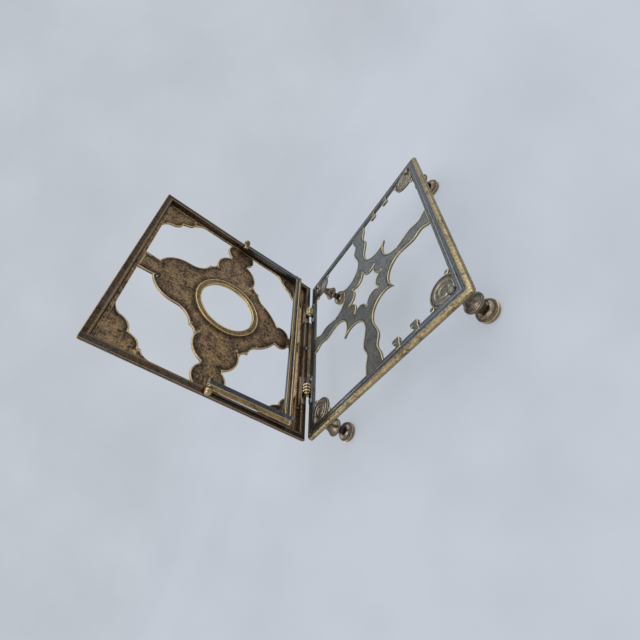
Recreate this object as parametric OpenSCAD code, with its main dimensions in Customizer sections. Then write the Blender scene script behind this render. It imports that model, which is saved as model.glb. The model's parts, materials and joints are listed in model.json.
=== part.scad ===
// Folding book display stand: a pierced base panel on four turned feet, a pierced rest
// panel hinged to its front edge, and a swing strut that props the rest panel.
// +X runs along the hinge, +Y runs back from the hinge, +Z is up, z = 0 is the table.

/* [Panels] */
// Width of both panels, along the hinge
panel_w = 240; // [210:5:280]
// Depth of both panels, away from the hinge
panel_d = 214; // [190:2:250]
// Width of the rail round each panel
rail_w = 11; // [10:0.5:12]
// Thickness of the base panel's plate
base_plate_t = 3.0; // [2.6:0.1:3.6]
// Thickness of the base panel's outer rim
base_rim_t = 4.6; // [4.4:0.1:5.5]
// Thickness of the rest panel
rest_t = 7.0; // [6.6:0.1:8]
// Thickness of the rest panel's pierced web
rest_web_t = 2.4; // [2:0.1:3]
// Depth of the base web below its rail
base_web_drop = 0.4; // [0.2:0.1:0.8]
// Inner radius of the rest panel's ring
ring_in_r = 31; // [26:0.5:33]
// Outer radius of the rest panel's ring
ring_out_r = 37.5; // [36:0.5:39]

/* [Hinge] */
// Opening of the rest panel above the base, in degrees
open_angle = 81.5; // [20:0.5:100]
// Height of the hinge axis above the base panel
axis_rise = 4.8; // [4.6:0.1:5.4]
// Distance of the hinge axis behind the panel edges
axis_inset = 3.85; // [3.5:0.05:4.5]
// Distance of each hinge from the middle
hinge_x = 62; // [50:1:75]
// Largest radius of a hinge knuckle
knuckle_r = 4.4; // [4:0.1:4.6]
// Length of one hinge knuckle
knuckle_l = 3.7; // [3.6:0.1:6]
// Radius of the hinge pins
hinge_pin_r = 1.5; // [1.2:0.1:1.8]

/* [Strut] */
// Width of the strut's legs
leg_w = 8; // [7:0.5:9]
// Thickness of the strut's legs
leg_t = 4.2; // [3.8:0.1:4.4]
// Distance from the strut pivot to the outer edge of its crossbar
strut_l = 85; // [75:1:88]
// Width of the strut's crossbar
crossbar_w = 8; // [7:0.5:9]
// Height of the strut pivot above the rest panel
pivot_rise = 4.4; // [4.2:0.1:4.8]
// Tilt of the folded strut towards the panel, in degrees
fold_tilt = 1.1; // [0.9:0.05:1.2]
// Radius of the strut's pivot pins
pivot_pin_r = 1.6; // [1.3:0.1:1.8]
// Radius of the ball heads on the pivot pins
ball_r = 3.6; // [3:0.1:3.8]

/* [Feet] */
// Height of the feet, from the table to the base plate
foot_h = 38; // [33:0.5:44]
// Diameter of the bun at the end of each foot
bun_d = 19.8; // [18:0.2:23]
// Diameter of the bell above the bun
bell_d = 18; // [15:0.2:20]
// Distance of the foot axes from the panel's side edges
foot_inset_x = 14; // [13:0.5:17]
// Distance of the foot axes from the panel's front and back edges
foot_inset_y = 15; // [13:0.5:16]

/* [Ledge] */
// Half length of the book ledge
ledge_half = 88; // [80:1:90]
// Depth of the ledge at its middle lobe
ledge_deep = 17.5; // [16:0.5:26]
// Depth of the ledge between its lobes
ledge_waist = 14; // [12:0.5:15.5]
// Thickness of the ledge
ledge_t = 2.6; // [2:0.1:3]

/* [Hidden] */

$fn = 64;
eps = 0.01;
fit = 0.05;                 // running clearance of pins in their bores, on the radius
snug = 0.02;                // clearance of fixed pins and screws in their holes
kx = panel_w / 240;         // stretch of the tracery from its 240 by 214 drawing
ky = panel_d / 214;
half_w = panel_w / 2;
half_d = panel_d / 2;
open_x = half_w - rail_w;   // half width inside the rails
open_y = half_d - rail_w;   // half depth inside the rails
base_top = foot_h + base_plate_t;
rest_web_drop = rest_t - rest_web_t;
foot_x = half_w - foot_inset_x;
foot_y = half_d - foot_inset_y;

// The front of the ledge and the back rail set the depth of the whole stand, and the
// origin is under its middle.
ledge_v = 0.8;              // height of the ledge's underside above the rest's lower edge
front_reach = (axis_rise + rest_t + ledge_deep) * sin(open_angle)
    - (ledge_v - axis_inset) * cos(open_angle);
axis_y = (front_reach - (panel_d - axis_inset)) / 2;
base_y = axis_y - axis_inset + half_d;
axis_z = base_top + axis_rise;

brass = [0.52, 0.42, 0.26];
bronze = [0.33, 0.32, 0.29];
dark_bronze = [0.24, 0.20, 0.17];

// ---- drawing helpers ----

function arc(cx, cy, r, a0, a1, n = 8) =
    [for (i = [0:n]) let (a = a0 + (a1 - a0) * i / n) [cx + r * cos(a), cy + r * sin(a)]];

// Points of a wavy edge that eases through [distance, half width] stations.
function wave(stations, n = 6) =
    [for (s = [0:len(stations) - 2], i = [0:n - 1])
        let (t = i / n, e = (1 - cos(180 * t)) / 2, a = stations[s], b = stations[s + 1])
        [a[0] + (b[0] - a[0]) * t, a[1] + (b[1] - a[1]) * e]];

function flip(points) = [for (p = points) [p[1], p[0]]];
function reverse(points) = [for (i = [len(points) - 1:-1:0]) points[i]];
function stretch(points) = [for (p = points) [p[0] * kx, p[1] * ky]];

module four_ways() {
    for (sx = [0, 1], sy = [0, 1])
        mirror([sx, 0, 0]) mirror([0, sy, 0]) children();
}

module both_sides() {
    children();
    mirror([1, 0, 0]) children();
}

// Runs a rail section round the panel with mitred corners. A section is drawn with its
// first coordinate inwards from the panel edge and its second away from the face.
module mitred_rails(side_section, hinge_section) {
    reach = rail_w + 1;
    module one_rail(half_len, half_off, section) {
        intersection() {
            translate([-half_len, -half_off, 0]) rotate([90, 0, 90])
                linear_extrude(2 * half_len) polygon(section);
            translate([0, 0, -20]) linear_extrude(40)
                polygon([[-half_len, -half_off], [half_len, -half_off],
                    [half_len - reach, -half_off + reach], [-half_len + reach, -half_off + reach]]);
        }
    }
    one_rail(half_w, half_d, hinge_section);
    rotate([0, 0, 180]) one_rail(half_w, half_d, side_section);
    for (a = [90, -90]) rotate([0, 0, a]) one_rail(half_d, half_w, side_section);
}

// ---- base panel ----

groove_in = rail_w - 2;     // the groove that sets off the bead along the opening
groove_w = 0.7;
groove_d = 0.6;
bevel_in = 4.8;             // width of the worn bevel on the outer edges

function face_steps(z) = [[groove_in, z], [groove_in, z - groove_d],
    [groove_in + groove_w, z - groove_d], [groove_in + groove_w, z], [rail_w, z]];

base_side_section = concat(
    [[bevel_in, 0]], face_steps(0),
    [[rail_w, -base_plate_t], [7, -base_plate_t], [6, -base_rim_t], [0.7, -base_rim_t],
        [0, -base_rim_t + 0.6], [0, -3.4], [0.35, -2.7], [2.2, -1.1]]);
hinge_rail_w = 8.2;         // the base panel's hinge rail is narrower than its others
base_hinge_section = [[0.9, 0], [hinge_rail_w, 0], [hinge_rail_w, -base_plate_t],
    [7, -base_plate_t], [6, -base_rim_t], [0.9, -base_rim_t], [0, -base_rim_t + 0.9], [0, -0.9]];

// One of the four openings round the star: the quarter with x > 0 and y > 0.
module base_opening() {
    depth_wave = wave([[54, 6.3], [74, 9.6], [84.5, 7.4], [96.2, 12]]);
    width_wave = wave([[54, 6.2], [76, 11.4], [88, 7.8], [101, 11.2], [109.2, 12]]);
    top_edge = concat([[12, open_y / ky]], reverse(flip(depth_wave)));
    thorn = concat(arc(25.6, 54, 19.3, 180, 308, 14), [[39, 39.2]],
        arc(53.6, 26, 19.9, 140, 270, 14));
    polygon(concat(
        [[12, open_y]],
        stretch(concat(reverse(flip(depth_wave)), thorn, width_wave)),
        [[open_x, 12 * ky], [open_x, open_y]]));
}

// The eight-pointed star: a disc with eight round scallops left in it.
module star() {
    difference() {
        circle(r = 28);
        for (k = [0:7]) rotate(22.5 + 45 * k) translate([30.3, 0]) circle(r = 11.2);
    }
}

pad_x = foot_x - 7.5;       // middle of the round corner pads
pad_y = foot_y - 6.5;
pad_r = 14.3;

module corner_pad_outline() {
    translate([pad_x, pad_y]) circle(r = pad_r);
    translate([open_x - 3.5, pad_y - pad_r - 0.2]) circle(r = 2.3);
    translate([pad_x - pad_r - 0.6, open_y - 3.2]) circle(r = 2.3);
}

lug_ys = [30.2 * ky, 52.2 * ky];   // the two strut positions, from the panel's middle
lug_head = [4.2, 8.6];
lug_neck = [4.2, 5.2];

// A catch for the strut's toe: a headed lug with a hollow on its hinge side.
module lug_outline() {
    for (y = lug_ys) {
        translate([open_x - lug_head[0] - lug_neck[0] + eps, y - lug_head[1] / 2])
            square(lug_head);
        translate([open_x - lug_neck[0], y - lug_neck[1] / 2 + 1.2])
            square(lug_neck + [1, 0]);
    }
}

module base_panel() {
    color(bronze)
    translate([0, base_y, base_top])
    difference() {
        union() {
            mitred_rails(base_side_section, base_hinge_section);
            translate([0, 0, -base_plate_t]) linear_extrude(base_plate_t - base_web_drop)
                difference() {
                    square([panel_w - rail_w, panel_d - rail_w], center = true);
                    difference() {
                        four_ways() base_opening();
                        both_sides() translate([12, -half_d + hinge_rail_w])
                            square([open_x - 12, rail_w - hinge_rail_w + 1]);
                        four_ways() corner_pad_outline();
                        both_sides() lug_outline();
                    }
                    star();
                }
            // raised ring on each corner pad
            four_ways() translate([pad_x, pad_y, -1])
                difference() {
                    cylinder(r = 10, h = 1.4);
                    translate([0, 0, -1]) cylinder(r = 8.6, h = 4);
                }
        }
        four_ways() translate([foot_x, foot_y, -10]) cylinder(r = stud_r + snug, h = 20);
        four_ways() translate([foot_x, foot_y, -base_web_drop]) cylinder(r = cap_r + 0.3, h = 3);
        leaf_screw_places() translate([0, 0, -10]) cylinder(r = screw_r + snug, h = 20);
    }
}

// ---- feet, with the studs and cap nuts that hold them ----

stud_r = 1.5;
cap_r = 3.6;
stud_deep = 14;             // how far the stud goes into the foot

// Turned outline, from the axis at the table up to the axis under the plate: a bun with a
// groove, an undercut, and a bell that narrows to the neck and collar.
function foot_outline() = let (b = bun_d / 2, c = bell_d / 2, h = foot_h) concat(
    [[0, 0], [b - 4.2, 0]],
    arc(b - 4.6, 4.4, 4.5, -70, -6, 6),
    [[b - 0.8, 4.1], [b - 0.8, 4.9]],
    arc(b - 6, 5.2, 5.95, -2, 74, 8),
    [[4.2, 11.5], [3.6, 12.4], [3.6, 13.8], [4.6, 15.6], [c - 2, 17.2]],
    arc(c - 1.1, 18.4, 1.1, -65, 50, 5),
    [for (i = [0:9]) let (t = i / 9)
        [3.7 + (c - 4.4) * pow(1 - t, 3), 19.9 + (h - 24.4) * t]],
    [[3.9, h - 3.6], [4.6, h - 3], [4.6, h], [0, h]]);

module foot(sx, sy) {
    color(dark_bronze)
    translate([sx * foot_x, base_y + sy * foot_y, 0])
    difference() {
        rotate_extrude() polygon(foot_outline());
        translate([0, 0, foot_h - stud_deep]) cylinder(r = stud_r + snug, h = stud_deep + 1);
    }
}

module foot_front_left() { foot(-1, -1); }
module foot_front_right() { foot(1, -1); }
module foot_back_left() { foot(-1, 1); }
module foot_back_right() { foot(1, 1); }

cap_hole = 2.2;             // how far the stud goes into its cap nut

module foot_studs() {
    color(brass)
    translate([0, base_y, foot_h - stud_deep])
        four_ways() translate([foot_x, foot_y, 0])
            cylinder(r = stud_r, h = stud_deep + base_plate_t - base_web_drop + cap_hole);
}

// A round dome, flat side down.
module dome(r, height) {
    dome_r = (r * r + height * height) / (2 * height);
    rotate_extrude() polygon(concat([[0, 0]],
        [for (i = [0:10]) let (a = asin(r / dome_r) * (1 - i / 10))
            [dome_r * sin(a), height - dome_r + dome_r * cos(a)]]));
}

// A domed nut with a blind hole.
module cap_nut(r, height, hole_r, hole_h) {
    difference() {
        dome(r, height);
        translate([0, 0, -1]) cylinder(r = hole_r, h = hole_h + 1);
    }
}

module foot_cap_nuts() {
    color(brass)
    translate([0, base_y, base_top - base_web_drop])
        four_ways() translate([foot_x, foot_y, 0]) cap_nut(cap_r, 3.3, stud_r + snug, cap_hole);
}

// ---- hinges ----

screw_r = 1.2;
screw_head_r = 2.3;
screw_head_h = 1.4;
leaf_t = 1.4;
leaf_half = 18;             // half length of a leaf
leaf_back = 4.2;            // reach of a leaf behind the axis
leaf_front = 2.0;           // reach of a leaf in front of the axis
screw_off = 13.7;           // screws from the middle of a leaf
screw_back = 1.1;           // screws behind the axis
knuckle_gap = 0.2;
// the other leaf's knuckles swing through a leaf up to here
notch_back = sqrt(pow(knuckle_r, 2) - pow(axis_rise - leaf_t, 2)) + 0.15;
knuckle_step = knuckle_l + knuckle_gap;

// Screw places of the base leaves, from the middle of the base panel.
module leaf_screw_places() {
    for (x = [-hinge_x, hinge_x], s = [-1, 1])
        translate([x + s * screw_off, -half_d + axis_inset + screw_back, 0]) children();
}

// One knuckle: a round-backed ring on a foot that stands on the leaf.
module knuckle() {
    rotate([0, 90, 0]) rotate_extrude() translate([0, -knuckle_l / 2])
        polygon(concat([[0, 0]],
            [for (i = [0:8]) let (t = i / 8)
                [knuckle_r - 0.9 * pow(2 * t - 1, 2), knuckle_l * t]],
            [[0, knuckle_l]]));
    translate([-knuckle_l / 2 + 0.2, -2.6, -axis_rise]) cube([knuckle_l - 0.4, 5.2, 3]);
}

// A leaf lies at z = -axis_rise under the axis, along x. steps lists its knuckles.
module leaf(steps, other_steps, bore_gap) {
    difference() {
        union() {
            difference() {
                translate([0, 0, -axis_rise]) linear_extrude(leaf_t) {
                    translate([-leaf_half + 2, -leaf_front])
                        square([2 * leaf_half - 4, leaf_front + leaf_back]);
                    translate([-leaf_half, -leaf_front + 2])
                        square([2 * leaf_half, leaf_front + leaf_back - 4]);
                    for (sx = [-1, 1], y = [-leaf_front + 2, leaf_back - 2])
                        translate([sx * (leaf_half - 2), y]) circle(r = 2);
                }
                for (s = other_steps)
                    translate([(s - 0.5) * knuckle_step - 0.05, -6, -axis_rise - 1])
                        cube([knuckle_step + 0.1, 6 + notch_back, 6]);
            }
            for (s = steps) translate([s * knuckle_step, 0, 0]) knuckle();
        }
        rotate([0, 90, 0]) cylinder(r = hinge_pin_r + bore_gap, h = 40, center = true);
        for (s = [-1, 1]) translate([s * screw_off, screw_back, -10])
            cylinder(r = screw_r + snug, h = 20);
    }
}

module on_base_hinge(side) {
    translate([side * hinge_x, axis_y, axis_z]) children();
}

module base_hinge_leaf_left() { color(bronze) on_base_hinge(-1) leaf([-1, 1], [0], snug); }
module base_hinge_leaf_right() { color(bronze) on_base_hinge(1) leaf([-1, 1], [0], snug); }

// A screw or rivet, head up, with its head seated at z = 0.
module screw(shank) {
    dome(screw_head_r, screw_head_h);
    translate([0, 0, -shank]) cylinder(r = screw_r, h = shank + 0.3);
}

module base_hinge_screws() {
    color(brass)
    translate([0, base_y, base_top + leaf_t]) leaf_screw_places() screw(leaf_t + base_plate_t);
}

pin_half = 1.5 * knuckle_l + knuckle_gap + 0.3;

module hinge_pin(side) {
    color(brass) on_base_hinge(side) rotate([0, 90, 0]) {
        cylinder(r = hinge_pin_r, h = 2 * pin_half, center = true);
        for (s = [0, 1]) mirror([0, 0, s]) translate([0, 0, pin_half]) dome(2.7, 1.9);
    }
}

module hinge_pin_left() { hinge_pin(-1); }
module hinge_pin_right() { hinge_pin(1); }

// ---- rest panel ----
// Its parts are drawn closed over the base: the hinge axis at the origin, the panel
// running back along +Y, its inner face down at z = axis_rise, then swung open.

module on_rest() {
    translate([0, axis_y, axis_z]) rotate([open_angle, 0, 0]) children();
}

// From the middle of the rest panel's inner face, z pointing into the stand.
module on_inner_face() {
    on_rest() translate([0, half_d - axis_inset, axis_rise]) mirror([0, 0, 1]) children();
}

rim_w = 5.2;                // flat rim of the rest panel, inside it a raised bead
bead_w = 1.5;
bead_rise = 0.4;
function rim_and_bead() = [[rim_w, 0], [rim_w + 0.2, bead_rise],
    [rim_w + bead_w - 0.2, bead_rise], [rim_w + bead_w, 0],
    [rim_w + bead_w + 0.3, -rest_web_drop], [rail_w, -rest_web_drop], [rail_w, -rest_t]];

rest_side_section = concat([[0.4, 0]], rim_and_bead(),
    [[bevel_in, -rest_t], [2.0, -rest_t + 1.5], [0, -2.2], [0, -0.4]]);
rest_hinge_section = concat([[0.9, 0]], rim_and_bead(),
    [[0.9, -rest_t], [0, -rest_t + 0.9], [0, -0.9]]);

// The edge that all four openings share: the side arm from its shoulder to the rail, the
// rail and the corner.
function side_arm_and_corner() = concat(
    arc(57, 34, 8.5, 188, 262, 6),
    arc(62.5, 2.6, 22.8, 107, 24, 10),
    arc(98.5, 2.3, 15.3, 140, 47, 10));

function corner() = concat(
    arc(96, 50, 13, 0, 68, 7),
    arc(102, 75, 10.8, 265, 196, 6),
    arc(90, 90, 13.5, 268, 190, 7),
    arc(64, 82.2, 14, 25, 90, 7));

// Opening beside the upper, domed arm: the quarter with x > 0 and y > 0.
module upper_opening() {
    dome = concat([[12.4, 88], [11.9, 81.2]], arc(3.5, 53.5, 29, 73, 0, 12),
        arc(52.5, 52, 20, 180, 254, 9));
    polygon(concat([[12.9 * kx, open_y]], stretch(concat(dome, side_arm_and_corner())),
        [[open_x, 14 * ky]], stretch(corner()), [[64 * kx, open_y]]));
}

// Opening beside the lower arm, which tapers to a bulb and a stem, drawn with y upwards.
module lower_opening() {
    stem = concat(arc(13.2, 89.7, 6.5, 90, 180, 6), arc(3.9, 69.5, 11.6, 75, -31, 12));
    taper = concat(arc(-13.4, 14.8, 55.7, 60, 28.3, 8), arc(50.5, 52, 18.8, 216, 267, 6));
    polygon(concat([[13.2 * kx, open_y]], stretch(concat(stem, taper, side_arm_and_corner())),
        [[open_x, 14 * ky]], stretch(corner()), [[64 * kx, open_y]]));
}

module rest_panel() {
    ring_rise = 1.2;
    color(brass)
    on_inner_face()
    difference() {
        union() {
            mitred_rails(rest_side_section, rest_hinge_section);
            translate([0, 0, -rest_t]) linear_extrude(rest_web_t)
                difference() {
                    square([panel_w - rail_w, panel_d - rail_w], center = true);
                    both_sides() upper_opening();
                    mirror([0, 1, 0]) both_sides() lower_opening();
                    circle(r = ring_in_r + 0.5);
                }
            // lands under the hinge leaves
            both_sides() translate([hinge_x - leaf_half - 1, -half_d + rim_w, -rest_t])
                cube([2 * leaf_half + 2, axis_inset + leaf_back + 0.4 - rim_w, rest_t]);
            // moulded ring: a cove between two rounds
            translate([0, 0, -rest_web_drop]) rotate_extrude($fn = 128)
                polygon(concat(
                    [[ring_in_r, -rest_web_t], [ring_in_r, 0.2]],
                    arc(ring_in_r + 1.1, 0.3, 1.1, 180, 20, 6),
                    arc(ring_in_r + 3.4, 1.6, 1.4, 215, 325, 5),
                    arc(ring_out_r - 1.5, 0.2, 1.5, 125, 0, 6),
                    [[ring_out_r, -1], [ring_in_r + 1, -rest_web_t]]));
        }
        rest_screw_places() translate([0, 0, -10]) cylinder(r = screw_r + snug, h = 20);
        translate([0, ledge_stud_y, -10]) cylinder(r = screw_r + snug, h = 20);
        // the bead stops for the hinge leaves and the ledge's nut
        both_sides() translate([hinge_x - leaf_half - 0.4, -half_d, 0])
            cube([2 * leaf_half + 0.8, rail_w, 2]);
        translate([0, ledge_stud_y, 0]) cylinder(r = ledge_nut_r + 0.3, h = 2);
        both_sides() translate([post_x, pivot_y, -3.2]) cylinder(r = peg_r + snug, h = 5);
    }
}

module rest_screw_places() {
    leaf_screw_places() children();
}

module rest_leaf(side) {
    color(bronze) on_rest() translate([side * hinge_x, 0, 0]) mirror([0, 0, 1])
        leaf([0], [-1, 1], fit);
}

module rest_hinge_leaf_left() { rest_leaf(-1); }
module rest_hinge_leaf_right() { rest_leaf(1); }

flange_t = 2.4;             // the ledge's upright flange, flat on the book face

module rest_hinge_screws() {
    color(brass) on_inner_face() translate([0, 0, leaf_t])
        rest_screw_places() screw(leaf_t + rest_t + flange_t);
}

// ---- book ledge ----

flange_h = 10;
apron_h = 9.2;              // how far the flange hangs below the rest, between the hinges
apron_half = 59;
ledge_stud_y = -half_d + 3.2;
ledge_nut_r = 2.4;
stud_in_flange = 1.6;
ledge_nut_hole = 1.8;

// Half of the ledge's scalloped front edge, as [x, distance from the book face].
function ledge_edge() = wave([[0, ledge_deep], [9, ledge_deep - 0.3], [22, ledge_waist],
    [33, ledge_deep - 0.5], [45, ledge_waist - 0.4], [57, ledge_waist - 0.4],
    [ledge_half - 12, ledge_waist - 1.5]], 5);

module ledge_plan() {
    polygon(concat([[0, 0]], ledge_edge(),
        arc(ledge_half - 10, ledge_waist - 11.5, 10, 88, 0, 6), [[ledge_half, 0]]));
}

module book_ledge() {
    color(brass)
    on_inner_face() translate([0, -half_d, -rest_t])
    difference() {
        union() {
            translate([0, ledge_v, 0]) rotate([-90, 0, 0])
                linear_extrude(ledge_t) both_sides() ledge_plan();
            translate([-ledge_half, 1, -flange_t]) cube([2 * ledge_half, flange_h, flange_t]);
            translate([-apron_half, -apron_h, -flange_t])
                cube([2 * apron_half, apron_h + 2, flange_t]);
        }
        translate([0, half_d, 0]) {
            rest_screw_places() translate([0, 0, -10]) cylinder(r = screw_r + snug, h = 20);
            translate([0, ledge_stud_y, -stud_in_flange]) cylinder(r = screw_r + snug, h = 10);
        }
    }
}

module ledge_stud() {
    color(brass) on_inner_face() translate([0, ledge_stud_y, -rest_t - stud_in_flange])
        cylinder(r = screw_r, h = rest_t + stud_in_flange + ledge_nut_hole);
}

module ledge_cap_nut() {
    color(dark_bronze) on_inner_face() translate([0, ledge_stud_y, 0])
        cap_nut(ledge_nut_r, 3, screw_r + snug, ledge_nut_hole);
}

// ---- strut, with the posts and pins that carry it ----

pivot_y = 0.5;              // pivot, from the middle of the rest panel
leg_out = half_w - 5;       // outer faces of the legs
post_gap = 0.15;
post_t = 2.2;
post_x = leg_out + post_gap + post_t / 2;
peg_r = 0.9;                // round tenon that holds the post in the rail

module on_strut() {
    on_inner_face() translate([0, pivot_y, pivot_rise]) rotate([-fold_tilt, 0, 0]) children();
}

module post(side) {
    color(bronze) on_inner_face() mirror([side < 0 ? 1 : 0, 0, 0]) {
        difference() {
            union() {
                translate([post_x - post_t / 2, pivot_y, 0]) rotate([90, 0, 90])
                    linear_extrude(post_t) {
                        translate([-3.4, 0]) square([6.8, pivot_rise]);
                        translate([0, pivot_rise]) circle(r = 3.4);
                    }
                translate([post_x, pivot_y, -3]) cylinder(r = peg_r, h = 3.5);
            }
            translate([post_x, pivot_y, pivot_rise]) rotate([0, 90, 0])
                cylinder(r = pivot_pin_r + snug, h = 10, center = true);
        }
    }
}

module strut_post_left() { post(-1); }
module strut_post_right() { post(1); }

// Ball-headed pin: the head outside the post, a riveted end inside the leg.
module strut_pin(side) {
    head_x = post_x + post_t / 2;
    color(brass) on_inner_face() mirror([side < 0 ? 1 : 0, 0, 0])
    translate([0, pivot_y, pivot_rise]) rotate([0, 90, 0]) {
        intersection() {
            translate([0, 0, head_x + 1.3]) sphere(r = ball_r);
            translate([0, 0, head_x]) cylinder(r = 2 * ball_r, h = 2 * ball_r);
        }
        translate([0, 0, leg_out - leg_w - 0.3]) cylinder(r = pivot_pin_r, h = leg_w + 3);
        translate([0, 0, leg_out - leg_w - 0.3]) mirror([0, 0, 1]) dome(2.6, 1.3);
    }
}

module strut_pin_left() { strut_pin(-1); }
module strut_pin_right() { strut_pin(1); }

leg_end = 3.2;              // leg beyond the pivot
toe_r = 1.7;
toe_l = 4.6;
toe_x = leg_out - leg_w;

module strut() {
    rib_h = 0.9;
    color(bronze)
    on_strut()
    difference() {
        union() {
            both_sides() {
                translate([leg_out - leg_w, leg_end, 0]) rotate([90, 0, 0])
                    linear_extrude(strut_l + leg_end) polygon([
                        [0, -leg_t / 2], [leg_w - 0.4, -leg_t / 2], [leg_w, -leg_t / 2 + 0.4],
                        [leg_w, -leg_t / 2 + 1.2], [leg_w - 2.6, leg_t / 2], [0, leg_t / 2]]);
            }
            translate([-leg_out, -strut_l, -leg_t / 2]) cube([2 * leg_out, crossbar_w, leg_t - rib_h]);
            // two ribs with a channel between them
            for (y = [0, crossbar_w - 2.4])
                translate([-leg_out + 1, -strut_l + y, 0]) cube([2 * leg_out - 2, 2.4, leg_t / 2]);
        }
        both_sides() translate([leg_out + 1, 0, 0]) rotate([0, -90, 0])
            cylinder(r = pivot_pin_r + fit, h = leg_w + 2);
        both_sides() translate([toe_x, -strut_l - 1, 0]) rotate([-90, 0, 0])
            cylinder(r = toe_r - 0.5 + snug, h = 6);
    }
}

// Round toes at the corners of the strut: they drop into the hollows beside the lugs.
module strut_toes() {
    color(brass) on_strut() both_sides() translate([toe_x, -strut_l, 0]) rotate([90, 0, 0]) {
        translate([0, 0, -5]) cylinder(r = toe_r - 0.5, h = 6);
        rotate_extrude() polygon(concat([[0, 0]],
            arc(0, toe_l - toe_r, toe_r, 0, 90, 8), [[0, 0]]));
        cylinder(r = toe_r, h = toe_l - toe_r);
    }
}

base_panel();
foot_front_left();
foot_front_right();
foot_back_left();
foot_back_right();
foot_studs();
foot_cap_nuts();
base_hinge_leaf_left();
base_hinge_leaf_right();
base_hinge_screws();
hinge_pin_left();
hinge_pin_right();
rest_panel();
rest_hinge_leaf_left();
rest_hinge_leaf_right();
rest_hinge_screws();
book_ledge();
ledge_stud();
ledge_cap_nut();
strut_post_left();
strut_post_right();
strut_pin_left();
strut_pin_right();
strut();
strut_toes();
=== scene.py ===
import json
import math

import bmesh
import bpy
from mathutils import Matrix, Vector, geometry, noise


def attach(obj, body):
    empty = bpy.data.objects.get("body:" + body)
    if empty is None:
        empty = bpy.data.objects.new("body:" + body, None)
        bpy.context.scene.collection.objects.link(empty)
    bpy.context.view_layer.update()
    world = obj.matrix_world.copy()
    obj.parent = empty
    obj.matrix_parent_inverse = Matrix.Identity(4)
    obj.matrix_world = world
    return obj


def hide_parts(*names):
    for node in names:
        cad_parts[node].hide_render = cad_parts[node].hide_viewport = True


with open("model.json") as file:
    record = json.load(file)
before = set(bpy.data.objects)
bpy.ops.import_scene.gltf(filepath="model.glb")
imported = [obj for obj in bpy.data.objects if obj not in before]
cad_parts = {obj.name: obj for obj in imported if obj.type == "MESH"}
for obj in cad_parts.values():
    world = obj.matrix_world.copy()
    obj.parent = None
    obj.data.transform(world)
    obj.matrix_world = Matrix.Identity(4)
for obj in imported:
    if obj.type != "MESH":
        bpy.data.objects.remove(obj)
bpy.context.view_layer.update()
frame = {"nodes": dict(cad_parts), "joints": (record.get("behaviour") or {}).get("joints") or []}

# Lengths are in millimetres while a piece is built, and become metres in place().
MM = 0.001

PANEL_W, PANEL_D = 240.0, 214.0
HALF_W, HALF_D = PANEL_W / 2, PANEL_D / 2
RAIL = 11.0
HINGE_RAIL = 8.2            # the base panel's hinge rail
OPEN_X, OPEN_Y = HALF_W - RAIL, HALF_D - RAIL
BASE_PLATE, BASE_RIM, BASE_DROP = 3.0, 4.6, 0.4
REST_T, REST_WEB = 7.0, 2.4
REST_RIM, BEAD_W, BEAD_RISE, LAND = 5.2, 1.5, 0.4, 8.4
AXIS_RISE, AXIS_INSET, OPEN_ANGLE = 4.8, 3.85, 81.5
FOOT_H, BUN_R, BELL_R = 38.0, 9.9, 9.0
BASE_TOP = FOOT_H + BASE_PLATE
FOOT_X, FOOT_Y = 106.0, 92.0
PAD_X, PAD_Y, PAD_R = 98.5, 85.5, 14.3
STAR_TIPS, SCALLOP_AT, SCALLOP_R = 27.4, 30.3, 11.2
RING_R, RING_OUT = 31.0, 37.5
HINGE_X = 62.0
KNUCKLE_R, KNUCKLE_L = 4.4, 3.7
LEAF_HALF, LEAF_FRONT, LEAF_BACK, LEAF_T = 18.0, 2.0, 4.2, 1.4
SCREW_BACK, SCREW_OUT = 1.1, 13.7
LEDGE_HALF, LEDGE_DEEP, LEDGE_WAIST, LEDGE_V, LEDGE_T = 88.0, 17.5, 14.0, 0.8, 2.6
FLANGE_T, APRON_HALF, APRON_H, NUT_Y = 2.4, 59.0, 9.2, -HALF_D + 3.2
PIVOT_Y, PIVOT_RISE, FOLD_TILT = 0.5, 4.4, 1.1
LEG_OUT, LEG_W, LEG_T, STRUT_L, BAR_W = 115.0, 8.0, 4.2, 85.0, 8.0


def turn(axis, degrees):
    return Matrix.Rotation(math.radians(degrees), 4, axis)


def move(x, y, z):
    return Matrix.Translation((x, y, z))


MIRROR_X = Matrix.Diagonal((-1, 1, 1, 1))
MIRROR_Z = Matrix.Diagonal((1, 1, -1, 1))

# The rest panel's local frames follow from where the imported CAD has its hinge.
hinge = [j for j in frame["joints"] if j["name"] == "rest_hinge"][0]["pos_m"]
AXIS_Y, AXIS_Z = hinge[1] / MM, hinge[2] / MM
BASE_Y = AXIS_Y - AXIS_INSET + HALF_D
ON_BASE = move(0, BASE_Y, BASE_TOP)
ON_REST = move(0, AXIS_Y, AXIS_Z) @ turn("X", OPEN_ANGLE)
ON_INNER = ON_REST @ move(0, HALF_D - AXIS_INSET, AXIS_RISE) @ MIRROR_Z
ON_STRUT = ON_INNER @ move(0, PIVOT_Y, PIVOT_RISE) @ turn("X", -FOLD_TILT)


# ---- outlines ----

def arc(cx, cy, r, a0, a1, n=14):
    return [(cx + r * math.cos(math.radians(a0 + (a1 - a0) * i / n)),
             cy + r * math.sin(math.radians(a0 + (a1 - a0) * i / n))) for i in range(n + 1)]


def wave(stations, n=10):
    out = []
    for (x0, y0), (x1, y1) in zip(stations, stations[1:]):
        for i in range(n):
            t = i / n
            out.append((x0 + (x1 - x0) * t, y0 + (y1 - y0) * (1 - math.cos(math.pi * t)) / 2))
    return out


def flip(points):
    return [(y, x) for x, y in points]


def mirrored(points, sx, sy):
    out = [(sx * x, sy * y) for x, y in points]
    return out if sx * sy > 0 else out[::-1]


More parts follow.
